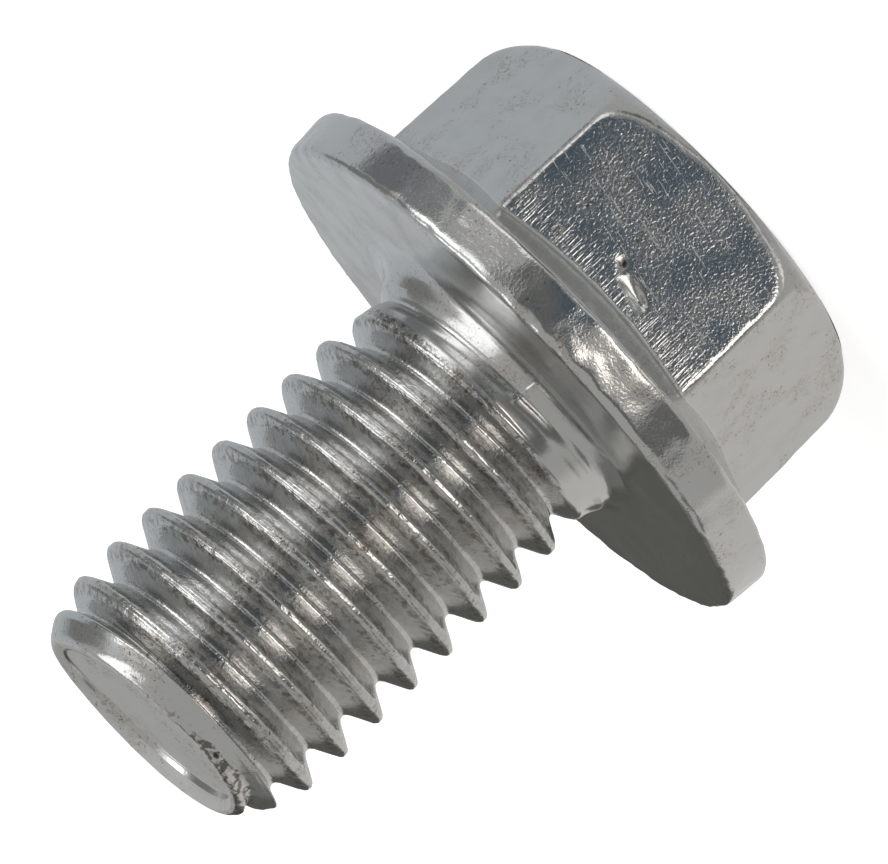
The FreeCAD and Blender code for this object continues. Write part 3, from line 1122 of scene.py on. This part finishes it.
# Studio: a grey room with light and dark panels, which the steel mirrors. Directions are
# degrees round the bolt from -Y towards +X, and degrees above its bearing face. Panels are
# painted one over the other
room = {
    "wall": (0.47, 0.465, 0.45),
    "white": (1.0, 1.0, 1.0),
    "panels": [
        # azimuth, elevation, half width, half height, soft edge, colour
        (140, -5, 46, 50, 16, (0.52, 0.55, 0.57)),
        (-135, -10, 43, 40, 18, (0.66, 0.645, 0.62)),
        (-160, 26, 19, 18, 8, (0.20, 0.20, 0.19)),
        (-92, 30, 12, 12, 8, (0.22, 0.22, 0.21)),
        (-165.3, 10, 15, 14, 1.2, (0.11, 0.11, 0.10)),
        (112, 30, 26, 14, 8, (0.24, 0.24, 0.235)),
        (90, -1, 14, 14, 8, (0.20, 0.205, 0.22)),
        (68, -2, 10, 5, 6, (0.25, 0.26, 0.27)),
        (-52, -4, 9, 16, 10, (0.16, 0.16, 0.16)),
        (-30, 13, 26, 7, 6, (0.16, 0.16, 0.16)),
        (10, -4, 15, 16, 10, (0.16, 0.16, 0.155)),
        (0, -13, 12, 11, 7, (0.085, 0.115, 0.145)),
        (-23, -1, 11, 5, 5, (0.48, 0.45, 0.43)),
        (-23, -15, 14, 9, 9, (2.8, 2.58, 2.4)),
        (42, -24, 13, 12, 9, (1.3, 1.3, 1.3)),
        (0, -32, 16, 5, 7, (0.25, 0.26, 0.26)),
        (0, -49, 7, 4, 5, (1.1, 1.1, 1.1)),
        (32, -58, 20, 10, 8, (0.13, 0.13, 0.13)),
        (-35, -54, 25, 7, 7, (1.25, 1.2, 1.15)),
        (-5, -67, 26, 15, 6, (0.35, 0.36, 0.37)),
        (58, 42, 26, 9, 6, (0.75, 0.76, 0.77)),
        (42, 9, 14, 6, 7, (1.2, 1.2, 1.2)),
        (55, 23, 20, 10, 7, (1.6, 1.6, 1.6)),
        (58, 27, 12, 11, 7, (2.8, 2.8, 2.8)),
        (88, 67, 38, 9, 6, (1.8, 1.8, 1.8)),
    ],
}


def makeRoom(setup):
    world = bpy.data.worlds.new("studio")
    bpy.context.scene.world = world
    world.use_nodes = True
    tree = world.node_tree
    tree.nodes.clear()
    direction = addNode(tree, "ShaderNodeTexCoord").outputs["Generated"]
    x, y, z = addNode(tree, "ShaderNodeSeparateXYZ", Vector=direction).outputs
    azimuth = calculate(tree, "ARCTAN2", x, times(tree, y, -1.0))
    azimuth = calculate(tree, "DEGREES", azimuth)
    elevation = calculate(tree, "DEGREES", calculate(tree, "ARCSINE", z))
    colour = setup["wall"]
    for turn, lift, halfWide, halfHigh, soft, paint in setup["panels"]:
        # the turn is wrapped so that panels may lie behind the bolt too
        away = calculate(tree, "WRAP", calculate(tree, "SUBTRACT", azimuth, turn), 180.0, -180.0)
        across = calculate(tree, "ABSOLUTE", away)
        aside = distanceFrom(tree, elevation, lift)
        inWidth = ramp(tree, across, halfWide + soft / 2, halfWide - soft / 2)
        inHeight = ramp(tree, aside, halfHigh + soft / 2, halfHigh - soft / 2)
        colour = mixColour(tree, times(tree, inWidth, inHeight), colour, paint)
    rays = addNode(tree, "ShaderNodeLightPath")
    seen = mixColour(tree, rays.outputs["Is Camera Ray"], colour, setup["white"])
    background = addNode(tree, "ShaderNodeBackground", Color=seen, Strength=1.0)
    output = addNode(tree, "ShaderNodeOutputWorld")
    tree.links.new(background.outputs[0], output.inputs[0])
    world.cycles.sampling_method = "NONE"


# Floor: white paper just under the bolt, lit up a little for the camera alone
floorSetup = {
    "radius": 4000.0,
    "segments": 96,
    "gap": 0.02,
    "colour": (0.85, 0.85, 0.85),
    "paleness": 0.7,
}


def floorPaper(setup):
    material = bpy.data.materials.new("floorPaper")
    material.use_nodes = True
    tree = material.node_tree
    tree.nodes.clear()
    paper = addNode(tree, "ShaderNodeBsdfDiffuse")
    paper.inputs["Color"].default_value = (*setup["colour"], 1)
    rays = addNode(tree, "ShaderNodeLightPath")
    glow = addNode(tree, "ShaderNodeEmission")
    share = times(tree, rays.outputs["Is Camera Ray"], setup["paleness"])
    tree.links.new(share, glow.inputs["Strength"])
    both = addNode(tree, "ShaderNodeAddShader")
    tree.links.new(paper.outputs[0], both.inputs[0])
    tree.links.new(glow.outputs[0], both.inputs[1])
    output = addNode(tree, "ShaderNodeOutputMaterial")
    tree.links.new(both.outputs[0], output.inputs[0])
    return material


def makeFloor(setup):
    mesh = bpy.data.meshes.new("floor")
    work = bmesh.new()
    bmesh.ops.create_circle(
        work, cap_ends=True, segments=setup["segments"], radius=setup["radius"] * mm
    )
    work.to_mesh(mesh)
    work.free()
    floor = bpy.data.objects.new("floor", mesh)
    floor.location.z = low.z - setup["gap"] * mm
    bpy.context.scene.collection.objects.link(floor)
    floor.data.materials.append(floorPaper(setup))
    floor.visible_glossy = False  # the steel mirrors the room, and not the paper under it


makeRoom(room)
makeFloor(floorSetup)
bpy.context.scene.view_settings.view_transform = "Standard"
print("studio ready")
